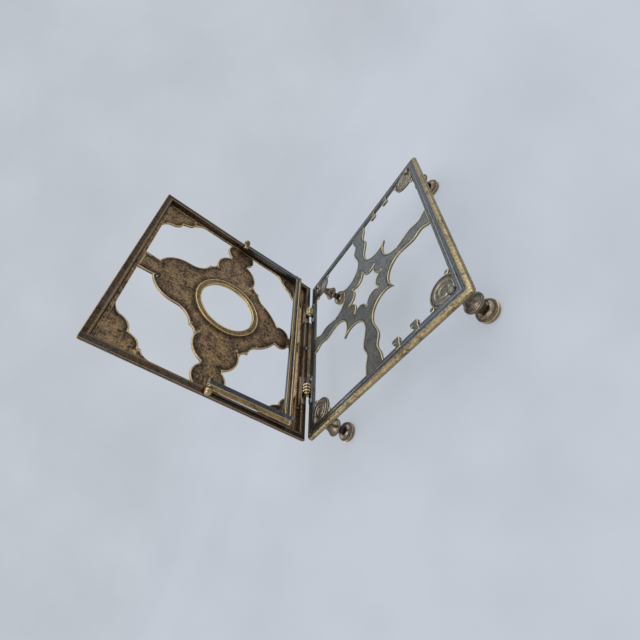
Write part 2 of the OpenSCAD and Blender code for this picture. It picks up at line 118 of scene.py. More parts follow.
def soften(points, r, n=4, closed=True):
    """The outline with every corner rounded to radius r, or less where the sides are short."""
    out = []
    count = len(points)
    for i, p in enumerate(points):
        if not closed and i in (0, count - 1):
            out.append(tuple(p))
            continue
        p = Vector(p)
        a, b = Vector(points[i - 1]) - p, Vector(points[(i + 1) % count]) - p
        if a.length < 1e-6 or b.length < 1e-6:
            out.append(tuple(p))
            continue
        reach = min(r, 0.45 * a.length, 0.45 * b.length)
        s, e = p + a.normalized() * reach, p + b.normalized() * reach
        for k in range(n + 1):
            t = k / n
            q = s * (1 - t) ** 2 + p * 2 * t * (1 - t) + e * t * t
            out.append((q.x, q.y))
    return out


# ---- mesh makers: each returns a bmesh in millimetres ----

def from_faces(verts, faces):
    bm = bmesh.new()
    vs = [bm.verts.new(v) for v in verts]
    for f in faces:
        bm.faces.new([vs[i] for i in f])
    bmesh.ops.recalc_face_normals(bm, faces=bm.faces)
    return bm


def lathe(profile, segments=72):
    """Turned round z. A profile that starts or ends at radius 0 closes there."""
    verts, faces, rings = [], [], []
    for r, z in profile:
        if r < 1e-6:
            rings.append([len(verts)])
            verts.append((0, 0, z))
        else:
            rings.append(list(range(len(verts), len(verts) + segments)))
            verts += [(r * math.cos(2 * math.pi * k / segments),
                       r * math.sin(2 * math.pi * k / segments), z) for k in range(segments)]
    for a, b in zip(rings, rings[1:]):
        for k in range(segments):
            k2 = (k + 1) % segments
            if len(a) == 1 and len(b) > 1:
                faces.append((a[0], b[k], b[k2]))
            elif len(b) == 1 and len(a) > 1:
                faces.append((a[k], a[k2], b[0]))
            elif len(a) > 1:
                faces.append((a[k], a[k2], b[k2], b[k]))
    for ring, way in ((rings[0], 1), (rings[-1], -1)):
        if len(ring) > 1:
            faces.append(tuple(ring[::way]))
    return from_faces(verts, faces)


def lathe_ring(profile, segments=160):
    """A closed section turned round z."""
    verts, faces = [], []
    m = len(profile)
    for k in range(segments):
        a = 2 * math.pi * k / segments
        verts += [(r * math.cos(a), r * math.sin(a), z) for r, z in profile]
    for k in range(segments):
        k2 = (k + 1) % segments
        for i in range(m):
            j = (i + 1) % m
            faces.append((k * m + i, k * m + j, k2 * m + j, k2 * m + i))
    return from_faces(verts, faces)


def area(points):
    return sum(a[0] * b[1] - b[0] * a[1] for a, b in zip(points, points[1:] + points[:1])) / 2


def inside(point, loops):
    """Even-odd test of a point against all the loops."""
    x, y = point
    odd = False
    for loop in loops:
        for (x0, y0), (x1, y1) in zip(loop, loop[1:] + loop[:1]):
            if (y0 > y) != (y1 > y) and x < x0 + (y - y0) * (x1 - x0) / (y1 - y0):
                odd = not odd
    return odd


def edge_profile(z0, z1, soft, sink=0.0, lip=0.7, band=0.0):
    """Section of a plate's edge from its lower face to its upper face: (inset, height, painted shade).
    sink drops the field inside a narrow lip that follows the edge; painted shade darkens the crease
    at the lip's foot and fills the field's border over the width of band."""
    low = soft * 0.7
    steps = [(low * (1 - math.sin(a)), z0 + low * (1 - math.cos(a)), 0) for a in (0, 0.5, 1.0, math.pi / 2)]
    steps += [(soft * (1 - math.cos(a)), z1 - soft * (1 - math.sin(a)), 0)
              for a in (0, 0.32, 0.64, 0.95, 1.25, math.pi / 2)]
    if sink:
        foot = soft + lip + 0.55
        # painted shade: full in the crease at the lip's foot, fading across the band
        steps += [(soft + lip, z1 - 0.08 * sink, 0), (foot - 0.25, z1 - 0.8 * sink, 1), (foot, z1 - sink, 1),
                  (foot + 0.5 + 0.4 * band, z1 - sink, 0.75 if band else 0)]
        if band:
            steps += [(foot + 0.5 + band, z1 - sink, 0)]
    else:
        steps += [(soft + 0.5, z1, 0)]
    return steps


def plate(outer, holes, z0, z1, soft=0.6, sink=0.0, lip=0.7, band=0.0, uneven=0.05, grid=4.0):
    """A flat cast plate between z0 and z1 whose edges follow edge_profile, holes included."""
    loops = [outer if area(outer) > 0 else outer[::-1]]
    loops += [h if area(h) < 0 else h[::-1] for h in holes]
    profile = edge_profile(z0, z1, soft, sink, lip, band)
    widest = max(d for d, z, shade_amount in profile)
    segments = [(Vector(a), Vector(b)) for loop in loops for a, b in zip(loop, loop[1:] + loop[:1])]
    verts, faces, top_loops, low_loops, shade_values = [], [], [], [], []
    for loop in loops:
        count = len(loop)
        points = [Vector(p) for p in loop]
        ways = []
        for k, p in enumerate(points):
            a = (p - points[k - 1]).normalized()
            b = (points[(k + 1) % count] - p).normalized()
            n1, n2 = Vector((-a.y, a.x)), Vector((-b.y, b.x))
            n = n1 + n2
            n = n.normalized() if n.length > 1e-6 else n1
            # how much metal lies behind this point, so that thin tips keep their shape
            reach = 4 * widest
            for q, r in segments:
                e = r - q
                cross = n.x * e.y - n.y * e.x
                if abs(cross) < 1e-9:
                    continue
                w = q - p
                t = (w.x * e.y - w.y * e.x) / cross
                u = (w.x * n.y - w.y * n.x) / cross
                if 1e-3 < t < reach and -1e-6 <= u <= 1 + 1e-6:
                    reach = t
            mitre = min(1 / max(n.dot(n1), 0.3), 2.2)
            ways.append(n * min(mitre, 0.42 * reach / widest))
        start = len(verts)
        for d, z, shade_amount in profile:
            verts += [((p + w * d).x, (p + w * d).y, z) for p, w in zip(points, ways)]
            shade_values += [shade_amount] * count
        for i in range(len(profile) - 1):
            for k in range(count):
                k2 = (k + 1) % count
                a = start + i * count
                faces.append((a + k, a + k2, a + count + k2, a + count + k))
        low_loops.append([verts[start + k][:2] for k in range(count)])
        top = start + (len(profile) - 1) * count
        top_loops.append([verts[top + k][:2] for k in range(count)])
    bm = from_faces(verts, faces)
    # painted shade from the edge profile, kept on each vertex
    layer = bm.verts.layers.float.new("painted_shade")
    for v, shade_amount in zip(bm.verts, shade_values):
        v[layer] = shade_amount
    xs, ys = [p[0] for p in outer], [p[1] for p in outer]
    for cap, z, side in ((low_loops, z0, -1), (top_loops, z1 - sink, 1)):
        points = [Vector(p) for loop in cap for p in loop]
        edges, first = [], 0
        for loop in cap:
            edges += [(first + k, first + (k + 1) % len(loop)) for k in range(len(loop))]
            first += len(loop)
        rim = list(points)
        rows = int((max(ys) - min(ys)) / grid)
        columns = int((max(xs) - min(xs)) / grid)
        for i in range(1, columns):
            for j in range(1, rows):
                q = Vector((min(xs) + (i + 0.5 * (j % 2)) * grid, min(ys) + j * grid))
                if inside(q, cap) and all((q - r).length_squared > (0.5 * grid) ** 2 for r in rim):
                    points.append(q)
        made, _, tris, *_ = geometry.delaunay_2d_cdt(points, edges, [], 1, 1e-5)
        new = []
        for q in made:
            swell = uneven * noise.noise(Vector((q.x * 0.07, q.y * 0.07, 3 * side)))
            near = min((q - r).length for r in rim) if uneven else 0
            new.append(bm.verts.new((q.x, q.y, z + swell * min(1, near / 2))))
        for tri in tris:
            centre = sum((made[i] for i in tri), Vector((0, 0))) / len(tri)
            if inside(centre, cap):
                bm.faces.new([new[i] for i in tri])
    bmesh.ops.remove_doubles(bm, verts=bm.verts, dist=0.004)
    bmesh.ops.delete(bm, geom=[v for v in bm.verts if not v.link_faces], context="VERTS")
    bmesh.ops.recalc_face_normals(bm, faces=bm.faces)
    return bm


def shade_border(bm, outline, width, ring=None):
    """Painted shade along a plate's sunk field: the painted shade layer fades over width inwards
    from the outline and outwards from the ring's radius."""
    layer = bm.verts.layers.float["painted_shade"]
    sides = [(Vector(a), Vector(b)) for a, b in zip(outline, outline[1:] + outline[:1])]
    top = max(v.co.z for v in bm.verts)
    for v in bm.verts:
        if v.co.z < top - 0.6:
            continue
        p, near = v.co.xy, 99.0
        for a, b in sides:
            t = max(0.0, min(1.0, (p - a).dot(b - a) / max((b - a).length_squared, 1e-9)))
            near = min(near, (a + (b - a) * t - p).length)
        if near < 1.45:
            continue
        value = 1 - (near - 2.6) / width
        if ring:
            value = max(value, 1 - (p.length - ring) / width)
        v[layer] = max(v[layer], min(1.0, max(0.0, value)))
    return bm


def bar(section, length, steps=48, wobble=0.05, seed=0):
    """A section (y, z) run along x. Hand work shows as a very slight wobble along it."""
    verts, faces = [], []
    m = len(section)
    for i in range(steps + 1):
        x = (2 * i / steps - 1) * length / 2
        for y, z in section:
            n = wobble * noise.noise(Vector((x * 0.045, seed * 7.3 + y * 0.05, 0)))
            verts.append((x, y + n, z + 0.6 * n))
    for i in range(steps):
        for k in range(m):
            a, b = i * m + k, i * m + (k + 1) % m
            faces.append((a, b, b + m, a + m))
    faces.append(tuple(range(m)))
    faces.append(tuple(range(steps * m + m - 1, steps * m - 1, -1)))
    return from_faces(verts, faces)


def rails(side_section, hinge_section, round_off, shape=None, steps=130, wobble=0.07):
    """Four mitred rails round a panel as one closed surface. The sections (inset, height)
    are equally long lists; the hinge rail's turns into the others' at its two corners.
    shape, when given, changes a point (x, inset, height) of the hinge rail. The outer corners
    are worn to the radius round_off."""
    side, front = soften(side_section, 0.3), soften(hinge_section, 0.3)
    m = len(side)
    verts, faces = [], []
    for q in range(4):
        length, off = ((PANEL_W, HALF_D), (PANEL_D, HALF_W))[q % 2]
        spin = turn("Z", 90 * q)
        for i in range(steps):
            t = -math.cos(math.pi * i / steps)
            keep = 1 - t ** 8
            corner = max(0.0, 1 - length / 2 * (1 - abs(t)) / 3)
            for k in range(m):
                d, z = side[k]
                if q == 0:
                    f = corner * corner * (3 - 2 * corner)
                    d, z = d * f + front[k][0] * (1 - f), z * f + front[k][1] * (1 - f)
                x = t * (length / 2 - d)
                if q == 0 and shape:
                    z = shape(x, d, z)
                n = wobble * keep * noise.noise(Vector((x * 0.045, off + q * 5.1 + k * 0.02, 0)))
                v = spin @ Vector((x, -off + d + n, z + 0.6 * n))
                over = Vector((abs(v.x) - HALF_W + round_off, abs(v.y) - HALF_D + round_off))
                if min(over) > 1e-6:
                    over *= max(over) / over.length
                    v.x = math.copysign(HALF_W - round_off + over.x, v.x)
                    v.y = math.copysign(HALF_D - round_off + over.y, v.y)
                verts.append(v)
    rings = 4 * steps
    for i in range(rings):
        for k in range(m):
            a, b = i * m, (i + 1) % rings * m
            faces.append((a + k, a + (k + 1) % m, b + (k + 1) % m, b + k))
    return from_faces(verts, faces)


def dome_profile(r, height, n=14):
    big = (r * r + height * height) / (2 * height)
    top = math.asin(min(1, r / big)) if height < r else math.pi - math.asin(r / big)
    return [(0, 0), (r * 0.985, 0)] + [
        (big * math.sin(top * (1 - k / n)), height - big + big * math.cos(top * (1 - k / n)))
        for k in range(n + 1)]


def dome(r, height, segments=48):
    profile = dome_profile(r, height)
    profile[-1] = (0, profile[-1][1])
    return lathe(profile, segments)


# ---- placing ----

def merged(parts):
    """One mesh from (bmesh, matrix) pairs."""
    whole = bmesh.new()
    # layer for the painted shade
    whole.verts.layers.float.new("painted_shade")
    for bm, at in parts:
        piece = bmesh.new()
        mesh = bpy.data.meshes.new("part")
        bm.to_mesh(mesh)
        piece.from_mesh(mesh)
        bpy.data.meshes.remove(mesh)
        piece.transform(at)
        if at.determinant() < 0:
            bmesh.ops.reverse_faces(piece, faces=piece.faces)
        mesh = bpy.data.meshes.new("part")
        piece.to_mesh(mesh)
        whole.from_mesh(mesh)
        bpy.data.meshes.remove(mesh)
        piece.free()
    return whole


def mark_wear(bm):
    """Stores at each vertex how sharply the surface bulges (wear) or dips (dent), in radians
    per mm."""
    wear = bm.verts.layers.float.new("wear")
    dent = bm.verts.layers.float.new("dent")
    for e in bm.edges:
        if len(e.link_faces) != 2:
            continue
        start, along = e.verts[0].co, e.verts[1].co - e.verts[0].co
        if along.length < 1e-9:
            continue
        along.normalize()
        width = 0.0
        for f in e.link_faces:
            off = f.calc_center_median() - start
            width += (off - along * off.dot(along)).length / MM
        bend = e.calc_face_angle_signed(0.0) / min(max(width, 0.12), 0.6)
        for v in e.verts:
            v[wear] = max(v[wear], bend)
            v[dent] = max(v[dent], -bend)


def place(name, parts, body, nodes, material, smooth=38):
    bm = merged([(b, Matrix.Scale(MM, 4) @ at) for b, at in parts])
    mark_wear(bm)
    mesh = bpy.data.meshes.new(name)
    bm.to_mesh(mesh)
    bm.free()
    mesh.shade_smooth()
    mesh.set_sharp_from_angle(angle=math.radians(smooth))
    mesh.materials.append(material)
    obj = bpy.data.objects.new(name, mesh)
    bpy.context.scene.collection.objects.link(obj)
    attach(obj, body)
    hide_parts(*nodes)
    return obj


# ---- materials ----

def aged_metal(name, deep, mid, bright, worn, rough=0.38, grain=1.0, spots=0.5, blue=0.15,
               rub=0.9, size=1.0, shade_amount=1.0, dull=0.0, seed=0.0):
    """Patinated cast metal, mottled between deep, mid and bright. rub sets how far bulges
    wear down to worn, shade_amount how dark the painted shade in hollows, creases and along
    sunk borders is, blue how much of it has a bluish sheen, dull how much of it stays near deep,
    spots how dark its specks are, grain how rough its cast skin is, and size how large its patches are."""
    mat = bpy.data.materials.new(name)
    mat.use_nodes = True
    nodes, links = mat.node_tree.nodes, mat.node_tree.links
    nodes.clear()

    def node(kind, **values):
        n = nodes.new(kind)
        for key, value in values.items():
            if key in n.inputs:
                n.inputs[key].default_value = value
            else:
                setattr(n, key, value)
        return n

    def feed(socket, value):
        if hasattr(value, "links"):
            links.new(value, socket)
        else:
            socket.default_value = value

    def mix(a, b, factor, blend="MIX"):
        n = node("ShaderNodeMix", data_type="RGBA", blend_type=blend)
        for socket, value in ((n.inputs[0], factor), (n.inputs[6], a), (n.inputs[7], b)):
            feed(socket, value)
        return n.outputs[2]

    def ramp(source, low, high, a=0.0, b=1.0):
        n = nodes.new("ShaderNodeMapRange")
        n.interpolation_type = "SMOOTHSTEP"
        for key, value in (("From Min", low), ("From Max", high), ("To Min", a), ("To Max", b)):
            n.inputs[key].default_value = value
        links.new(source, n.inputs["Value"])
        return n.outputs["Result"]

    def maths(op, a, b):
        n = node("ShaderNodeMath", operation=op)
        feed(n.inputs[0], a)
        feed(n.inputs[1], b)
        return n.outputs[0]

    def cloud(scale, detail=6.0, roughness=0.6, shift=0.0):
        n = node("ShaderNodeTexNoise", Scale=scale / size, Detail=detail, Roughness=roughness)
        shifted = node("ShaderNodeVectorMath", operation="ADD")
        links.new(coords.outputs["Object"], shifted.inputs[0])
        shifted.inputs[1].default_value = (seed + shift, seed * 0.7 - shift, shift * 0.4)
        links.new(shifted.outputs[0], n.inputs["Vector"])
        return n.outputs["Fac"]

    coords = nodes.new("ShaderNodeTexCoord")
    bsdf = node("ShaderNodeBsdfPrincipled", Metallic=1.0)
    links.new(bsdf.outputs[0], nodes.new("ShaderNodeOutputMaterial").inputs[0])

    patches = ramp(cloud(75, 5, 0.62), 0.33 + dull, 0.58 + dull)
    mottle = ramp(cloud(430, 6, 0.72, 0.31), 0.42, 0.60)
    speckle = ramp(cloud(900, 4, 0.72, 0.77), 0.48, 0.62)
    colour = mix((*deep, 1), (*mid, 1), patches)
    flecks = maths("MULTIPLY", maths("MULTIPLY", mottle, 0.72), ramp(patches, 0, 1, 1 - 5 * dull, 1.0))
    colour = mix(colour, (*bright, 1), flecks)
    colour = mix(colour, (*deep, 1), maths("MULTIPLY", speckle, spots))

    # painted shade: ambient occlusion and the surface's dips darken the colour in hollows, creases and
    # between parts
    hollow = node("ShaderNodeAmbientOcclusion", Distance=2.4 * MM, samples=6, only_local=True)
    painted_shade = ramp(hollow.outputs["AO"], 0.35, 0.85, 1.0, 0.0)
    dip = ramp(node("ShaderNodeAttribute", attribute_name="dent").outputs["Fac"], 0.10, 0.9)
    painted_shade = maths("MAXIMUM", painted_shade, dip)
    # painted shade stored on the mesh along the sunk fields' borders
    border = node("ShaderNodeAttribute", attribute_name="painted_shade").outputs["Fac"]
    border = maths("MULTIPLY", border, ramp(cloud(300, 4, 0.6, 0.21), 0.35, 0.75, 1.0, 0.55))
    painted_shade = maths("MAXIMUM", painted_shade, border)
    # the painted shade darkens the colour towards near black
    colour = mix(colour, (0.030, 0.022, 0.018, 1), maths("MULTIPLY", painted_shade, 0.88 * shade_amount))

    bulge = ramp(node("ShaderNodeAttribute", attribute_name="wear").outputs["Fac"], 0.30, 0.95)
    broken = maths("MULTIPLY", bulge, ramp(cloud(420, 5, 0.7, 0.55), 0.25, 0.52, 0.15, 1.0))
    colour = mix(colour, (*worn, 1), maths("MULTIPLY", broken, rub))
    sheen = ramp(cloud(25, 3, 0.5, 0.9), 0.40, 0.70)
    colour = mix(colour, (0.15, 0.185, 0.245, 1), maths("MULTIPLY", sheen, blue))
    links.new(colour, bsdf.inputs["Base Color"])

    r = maths("ADD", maths("MULTIPLY", mottle, -0.10), rough + 0.05)
    r = maths("ADD", r, maths("MULTIPLY", speckle, 0.10))
    r = maths("ADD", r, maths("MULTIPLY", painted_shade, 0.22))
    links.new(maths("SUBTRACT", r, maths("MULTIPLY", broken, 0.10)), bsdf.inputs["Roughness"])

    coarse = node("ShaderNodeBump", Strength=0.40 * grain, Distance=0.35 * MM)
    links.new(cloud(420, 5, 0.6, 0.42), coarse.inputs["Height"])
    fine = node("ShaderNodeBump", Strength=0.28 * grain, Distance=0.12 * MM)
    links.new(cloud(1500, 5, 0.7, 0.13), fine.inputs["Height"])
    links.new(coarse.outputs[0], fine.inputs["Normal"])
    links.new(fine.outputs[0], bsdf.inputs["Normal"])
    return mat


BASE_METAL = aged_metal("base_cast_bronze", (0.083, 0.083, 0.079), (0.186, 0.182, 0.158),
                        (0.294, 0.281, 0.222), (0.70, 0.55, 0.27), rough=0.38, spots=0.55, blue=0.22)
BEVEL_METAL = aged_metal("worn_golden_bevel", (0.120, 0.078, 0.040), (0.36, 0.26, 0.125),
                         (0.60, 0.46, 0.235), (0.85, 0.68, 0.38), rough=0.26, spots=0.6, blue=0.02,
                         rub=0.5, grain=0.5, seed=3.1)
TROUGH_METAL = aged_metal("dark_blue_trough", (0.036, 0.043, 0.056), (0.078, 0.090, 0.110),
                          (0.155, 0.165, 0.175), (0.60, 0.50, 0.30), rough=0.32, spots=0.4,
                          blue=0.40, seed=9.2)
PAD_METAL = aged_metal("pad_grey_bronze", (0.085, 0.076, 0.066), (0.180, 0.157, 0.126),
                       (0.29, 0.25, 0.18), (0.42, 0.34, 0.21), rough=0.34, spots=0.5, blue=0.2,
                       rub=0.45, seed=0.9)
REST_METAL = aged_metal("rest_cast_brass", (0.062, 0.040, 0.030), (0.310, 0.186, 0.090),
                        (0.68, 0.450, 0.225), (0.72, 0.52, 0.27), rough=0.36, spots=0.62, blue=0.04,
                        dull=0.06, seed=1.7)
RIM_METAL = aged_metal("rest_dark_rim", (0.036, 0.027, 0.021), (0.080, 0.055, 0.037),
                       (0.19, 0.120, 0.065), (0.56, 0.37, 0.18), rough=0.34, spots=0.55, blue=0.12,
                       rub=0.62, seed=5.2)
# lighter painted shade in its hollows
RING_METAL = aged_metal("rest_ring_brass", (0.10, 0.063, 0.031), (0.30, 0.19, 0.082),
                        (0.50, 0.33, 0.145), (0.78, 0.58, 0.29), rough=0.34, spots=0.5, blue=0.04,
                        shade_amount=0.35, seed=4.4)
FOOT_METAL = aged_metal("turned_bronze", (0.060, 0.043, 0.030), (0.170, 0.122, 0.078),
                        (0.33, 0.245, 0.155), (0.70, 0.54, 0.32), rough=0.20, grain=0.45, spots=0.45,
                        blue=0.12, seed=2.6)
STRUT_METAL = aged_metal("strut_dark_metal", (0.036, 0.040, 0.050), (0.080, 0.084, 0.092),
                         (0.15, 0.145, 0.13), (0.60, 0.46, 0.24), rough=0.32, spots=0.4, blue=0.5, seed=6.3)
PIN_METAL = aged_metal("worn_brass", (0.13, 0.088, 0.042), (0.38, 0.265, 0.125),
                       (0.66, 0.49, 0.245), (0.90, 0.72, 0.42), rough=0.22, grain=0.5, spots=0.4,
                       blue=0.04, seed=7.7)
LEAF_METAL = aged_metal("hinge_leaf_dark", (0.040, 0.046, 0.060), (0.090, 0.100, 0.125),
                        (0.17, 0.18, 0.20), (0.50, 0.42, 0.28), rough=0.26, spots=0.4, blue=0.6,
                        rub=0.6, seed=8.8)


# ---- base panel ----

def star_opening():
    """Eight scallops, each an arc from one tip of the star to the next."""
    out = []
    cosine = (SCALLOP_AT ** 2 + SCALLOP_R ** 2 - STAR_TIPS ** 2) / (2 * SCALLOP_AT * SCALLOP_R)
    spread = math.degrees(math.acos(cosine))
    for k in range(8):
        way = 45 * k + 22.5
        x, y = SCALLOP_AT * math.cos(math.radians(way)), SCALLOP_AT * math.sin(math.radians(way))
        out += arc(x, y, SCALLOP_R, way + 180 + spread, way + 180 - spread, 12)
    return out


def base_opening(back):
    depth_wave = wave([(54, 6.3), (74, 9.6), (84.5, 7.4), (96.2, 12)])
    width_wave = wave([(54, 6.2), (76, 11.4), (88, 7.8), (101, 11.2), (109.2, 12)])
    thorn = (arc(25.6, 54, 19.3, 180, 308, 26) + [(39.3, 39.6)] + arc(53.6, 26, 19.9, 140, 270, 26))
    return [(12, back + 1.2)] + flip(depth_wave)[::-1] + thorn + width_wave + [
        (OPEN_X + 1.2, 12), (OPEN_X + 1.2, back + 1.2)]


def base_tracery():
    """The star and its four arms, out to under the rails, as one outline."""
    outline = []
    for sx, sy in ((1, 1), (1, -1), (-1, -1), (-1, 1)):
        outline += mirrored(base_opening(OPEN_Y if sy > 0 else HALF_D - HINGE_RAIL)[:-1], sx, sy)
    return outline


def lug(y):
    """Catch for the strut's toe: a headed lug with a hollow on its hinge side."""
    return [(104.8, y - 4.3), (104.8, y - 1.6), (105.6, y - 1.0), (112, y - 1.8), (112, y + 4.2),
            (105.6, y + 3.6), (104.8, y + 4.3), (101.6, y + 4.3), (100.6, y + 3.3),
            (100.6, y - 3.3), (101.6, y - 4.3)]


# worn quarter-round, shallow trough, bead, and the drop to the web
base_side = [(4.8 * (1 - math.sin(a)), -3.6 * (1 - math.cos(a)))
             for a in [k * math.pi / 16 for k in range(8, 0, -1)]][::-1] + [
    (5.0, -0.15), (5.7, -0.5), (8.0, -0.5), (8.8, -0.1), (9.2, 0.05), (10.4, 0.05), (RAIL, -0.1),
    (RAIL, -BASE_PLATE), (7, -BASE_PLATE), (6, -BASE_RIM), (0.7, -BASE_RIM), (0, -BASE_RIM + 0.6)]
base_front = [(0.9 - 0.1 * k, -0.01 * k * k) for k in range(8)] + [
    (2.0, 0), (2.6, 0), (4.6, 0), (5.6, -0.02), (6.3, 0.05), (7.6, 0.05), (HINGE_RAIL, -0.1),
    (HINGE_RAIL, -BASE_PLATE), (7, -BASE_PLATE), (6, -BASE_RIM), (0.9, -BASE_RIM), (0, -BASE_RIM + 0.9)]


def build_base():
    top, low = -BASE_DROP - 0.15, -BASE_PLATE
    parts = [(rails(base_side, base_front, 3.2), Matrix.Identity(4))]
    # the sunk fields carry painted shade along their lips
    parts.append((plate(base_tracery(), [star_opening()], low, top, soft=0.7, sink=0.3, lip=0.35, band=0.8),
                  Matrix.Identity(4)))
    pad = arc(PAD_X, PAD_Y, PAD_R, 0, 360, 64)[:-1]
    nibs = [arc(OPEN_X - 3.5, PAD_Y - PAD_R - 0.2, 2.4, 0, 360, 24)[:-1],
            arc(PAD_X - PAD_R - 0.6, OPEN_Y - 3.2, 2.4, 0, 360, 24)[:-1]]
    rings = [[(r - 1.3, top - 0.3), (r - 0.8, top + 0.25), (r - 0.3, top + 0.42), (r + 0.3, top + 0.42),
              (r + 0.8, top + 0.25), (r + 1.3, top - 0.3)] for r in (9.6, 5.0)]
    for sx in (1, -1):
        for sy in (1, -1):
            at = Matrix.Diagonal((sx, sy, 1, 1))
            parts.append((plate(pad, [], low, top, soft=0.7, sink=0.3, lip=0.35, band=0.8), at))
            for nib in nibs:
                parts.append((plate(nib, [], low + 0.15, top - 0.15, soft=0.75), at))
            for ring in rings:
                parts.append((lathe_ring(ring, 72), at @ move(PAD_X, PAD_Y, 0)))
        for y in (30.2, 52.2):
            parts.append((plate(soften(lug(y), 0.8), [], low + 0.1, 0.2, soft=0.6),
                          Matrix.Diagonal((sx, 1, 1, 1))))
    return [(bm, ON_BASE @ at) for bm, at in parts]


base_obj = place("base_panel_cast", build_base(), "base", ["base_panel"], BASE_METAL)


def repaint(obj, material, to_local, test):
    """Gives the material to the faces that pass the test (centre, normal) in a local frame."""
    obj.data.materials.append(material)
    index = len(obj.data.materials) - 1
    for f in obj.data.polygons:
        c = to_local @ (f.center / MM)
        n = (to_local.to_3x3() @ f.normal).normalized()
        if test(c, n):
            f.material_index = index


def on_base_bevel(c, n):
    inset = min(HALF_W - abs(c.x), HALF_D - c.y)
    return inset < 4.9 and n.z > -0.2 and c.z > -4.2 and HALF_D + c.y > 3.0


def on_pad(c, n):
    return math.hypot(abs(c.x) - PAD_X, abs(c.y) - PAD_Y) < PAD_R + 0.2 and c.z < -0.12 and abs(c.x) < OPEN_X


def in_base_trough(c, n):
    inset = min(HALF_W - abs(c.x), HALF_D - abs(c.y))
    return 4.9 <= inset < 9.0 and c.z > -1.0


repaint(base_obj, BEVEL_METAL, ON_BASE.inverted(), on_base_bevel)
repaint(base_obj, PAD_METAL, ON_BASE.inverted(), on_pad)
repaint(base_obj, TROUGH_METAL, ON_BASE.inverted(), in_base_trough)


# ---- feet ----

def foot_profile():
    b, c, h = BUN_R, BELL_R, FOOT_H
    lower = [(0, 0), (b - 4.2, 0)] + arc(b - 4.6, 4.4, 4.5, -70, -20, 12)
    # two turned grooves round the bun
    line = [(b - 0.25, 3.4), (b - 0.85, 3.6), (b - 0.85, 4.1), (b - 0.05, 4.4), (b - 0.05, 5.5),
            (b - 0.9, 5.8), (b - 0.9, 6.3), (b - 0.25, 6.6)]
    upper = arc(b - 6.0, 5.2, 5.95, 17, 72, 14)
    neck = [(4.6, 11.3), (4.0, 11.7), (3.65, 12.5), (3.6, 13.4), (3.85, 14.4), (4.5, 15.5), (5.3, 16.4),
            (c - 2.0, 17.15)]
    drum = arc(c - 2.2, 19.4, 2.2, -75, 55, 14)
    bell = [(3.7 + (c - 4.75) * (1 - k / 24) ** 2.5, 21.4 + (h - 25.9) * k / 24) for k in range(25)]
    collar = [(3.75, h - 4.0), (4.1, h - 3.5), (4.5, h - 3.2), (4.6, h - 2.9), (4.6, h - 1.7),
              (4.4, h - 1.6), (4.4, h)]
    return lower + line + upper + neck + drum + bell + collar


for tag, sx, sy in (("front_left", -1, -1), ("front_right", 1, -1),
                    ("back_left", -1, 1), ("back_right", 1, 1)):
    at = move(sx * FOOT_X, BASE_Y + sy * FOOT_Y, 0)
    place("foot_" + tag + "_turned", [(lathe(foot_profile(), 96), at)], "base", ["foot_" + tag],
          FOOT_METAL, smooth=30)

place("foot_cap_domes", [(dome(3.6, 3.3), ON_BASE @ move(sx * FOOT_X, sy * FOOT_Y, -BASE_DROP))
                         for sx in (1, -1) for sy in (1, -1)],
      "base", ["foot_cap_nuts"], PAD_METAL)


# ---- hinges ----

def knuckle_parts():
    """A round-backed ring and the short foot that joins it to its leaf."""
    l, r = KNUCKLE_L, KNUCKLE_R
    ring = [(1.55, 0), (r - 1.9, 0.05)] + [
        (r - 1.5 * abs(2 * k / 16 - 1) ** 1.9, l * (0.04 + 0.92 * k / 16)) for k in range(17)] + [
        (r - 1.9, l - 0.05), (1.55, l)]
    body = lathe(ring, 56)
    foot = plate(soften([(-l / 2 + 0.2, -2.6), (l / 2 - 0.2, -2.6), (l / 2 - 0.2, 2.6),
                         (-l / 2 + 0.2, 2.6)], 0.6), [], -AXIS_RISE + 0.3, -1.8, soft=0.3)
    return [(body, turn("Y", 90) @ move(0, 0, -l / 2)), (foot, Matrix.Identity(4))]


def leaf_parts(steps, cut):
    """A hinge leaf under its axis, with the knuckles at steps and notches for the others."""
    h, b, f = LEAF_HALF, LEAF_BACK, LEAF_FRONT
    outer = soften([(-h, 0), (1 - h, -f), (h - 1, -f), (h, 0), (h, b - 1.5), (h - 1.5, b), (1.5 - h, b),
                    (-h, b - 1.5)], 1)
    notch = math.sqrt(KNUCKLE_R ** 2 - (AXIS_RISE - LEAF_T) ** 2) + 0.15
    half = KNUCKLE_L / 2 + 0.15
    for s in sorted(cut, reverse=True):
        # the outline's front edge runs from left to right: step it in round each notch
        x = s * (KNUCKLE_L + 0.2)
        k = next(i for i, p in enumerate(outer) if p[1] < 0.1 - LEAF_FRONT and p[0] > 0)
        outer[k:k] = [(x - half, -LEAF_FRONT), (x - half, notch), (x + half, notch), (x + half, -LEAF_FRONT)]
    flat = plate(outer, [], -AXIS_RISE, -AXIS_RISE + LEAF_T, soft=0.3)
    parts = [(flat, Matrix.Identity(4))]
    for s in steps:
        parts += [(bm, move(s * (KNUCKLE_L + 0.2), 0, 0) @ at) for bm, at in knuckle_parts()]
    return parts


